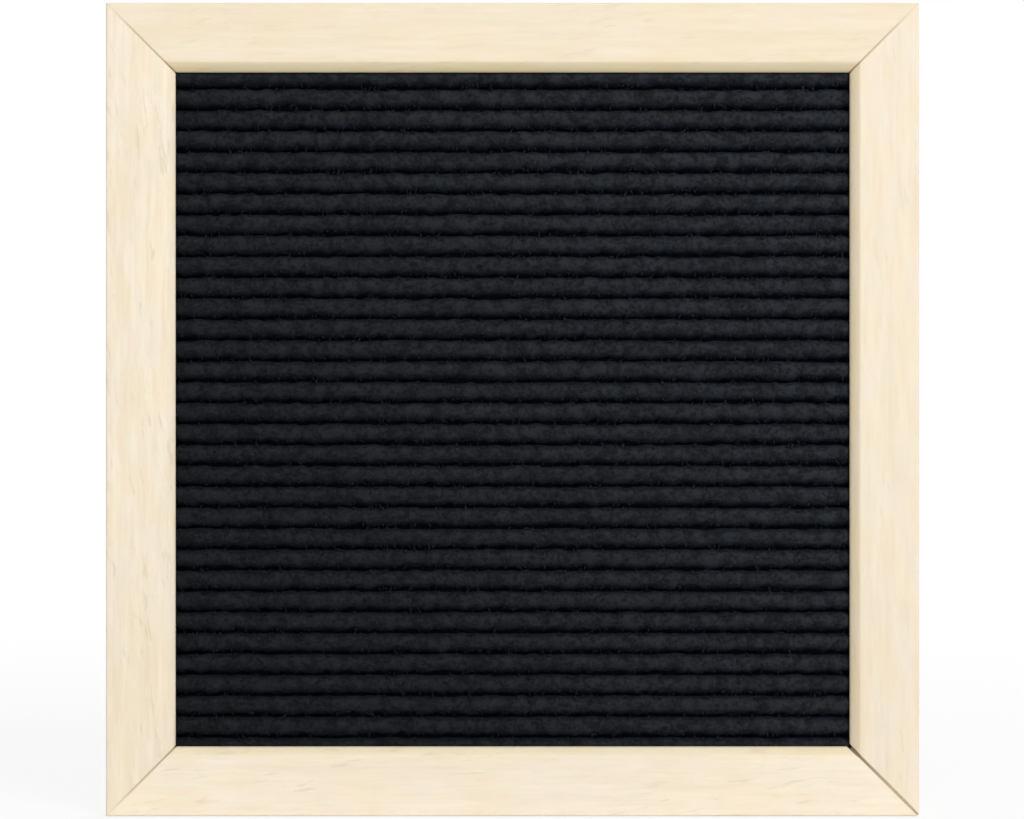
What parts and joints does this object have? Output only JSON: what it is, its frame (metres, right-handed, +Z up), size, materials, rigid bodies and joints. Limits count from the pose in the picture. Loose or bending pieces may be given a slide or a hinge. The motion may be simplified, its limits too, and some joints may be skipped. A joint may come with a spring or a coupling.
{
  "type": "letter board",
  "caption": "Small square letter board: a pale mitred wooden frame around a black felt panel with horizontal grooves that take the tabs of loose letters.",
  "frame": {"origin": "on the underside of the bottom rail, at the middle of the board's width and of its whole depth from the frame's front to the backs of the bumpers", "axes": "+Z up the board, -Y out of the felt side towards the reader, +Y out of the back towards the wall, +X to the reader's right"},
  "size_m": [0.254, 0.0166, 0.254],
  "materials": {
    "pale_oak": "satin",
    "black_felt": "matte",
    "greyboard": "matte",
    "hardboard": "matte",
    "zinc_plated_steel": "satin",
    "bright_steel": "satin",
    "clear_rubber": "satin"
  },
  "bodies": {
    "root": {"top_rail": "pale_oak", "bottom_rail": "pale_oak", "left_rail": "pale_oak", "right_rail": "pale_oak", "corner_v_nails": "bright_steel", "felt_facing": "black_felt", "rib_strip_01": "greyboard", "rib_strip_02": "greyboard", "rib_strip_03": "greyboard", "rib_strip_04": "greyboard", "rib_strip_05": "greyboard", "rib_strip_06": "greyboard", "rib_strip_07": "greyboard", "rib_strip_08": "greyboard", "rib_strip_09": "greyboard", "rib_strip_10": "greyboard", "rib_strip_11": "greyboard", "rib_strip_12": "greyboard", "rib_strip_13": "greyboard", "rib_strip_14": "greyboard", "rib_strip_15": "greyboard", "rib_strip_16": "greyboard", "rib_strip_17": "greyboard", "rib_strip_18": "greyboard", "rib_strip_19": "greyboard", "rib_strip_20": "greyboard", "rib_strip_21": "greyboard", "rib_strip_22": "greyboard", "rib_strip_23": "greyboard", "rib_strip_24": "greyboard", "rib_strip_25": "greyboard", "rib_strip_26": "greyboard", "rib_strip_27": "greyboard", "rib_strip_28": "greyboard", "rib_strip_29": "greyboard", "rib_strip_30": "greyboard", "rib_strip_31": "greyboard", "rib_strip_32": "greyboard", "rib_strip_33": "greyboard", "rib_strip_34": "greyboard", "backing_board": "hardboard", "sawtooth_hanger": "zinc_plated_steel", "hanger_nails": "bright_steel", "turn_button_screws": "bright_steel", "bumper_left": "clear_rubber", "bumper_right": "clear_rubber"},
    "turn_button_top_left": {"turn_button_top_left": "zinc_plated_steel"},
    "turn_button_top_right": {"turn_button_top_right": "zinc_plated_steel"},
    "turn_button_bottom_left": {"turn_button_bottom_left": "zinc_plated_steel"},
    "turn_button_bottom_right": {"turn_button_bottom_right": "zinc_plated_steel"}
  },
  "joints": [
    {"name": "top_left_button_turn", "type": "hinge", "parent": "root", "child": "turn_button_top_left", "pos_m": [-0.11975, 0.00575, 0.189], "axis": [0, 1, 0], "continuous": true},
    {"name": "top_right_button_turn", "type": "hinge", "parent": "root", "child": "turn_button_top_right", "pos_m": [0.11975, 0.00575, 0.189], "axis": [0, 1, 0], "continuous": true},
    {"name": "bottom_left_button_turn", "type": "hinge", "parent": "root", "child": "turn_button_bottom_left", "pos_m": [-0.11975, 0.00575, 0.065], "axis": [0, 1, 0], "continuous": true},
    {"name": "bottom_right_button_turn", "type": "hinge", "parent": "root", "child": "turn_button_bottom_right", "pos_m": [0.11975, 0.00575, 0.065], "axis": [0, 1, 0], "continuous": true}
  ]
}
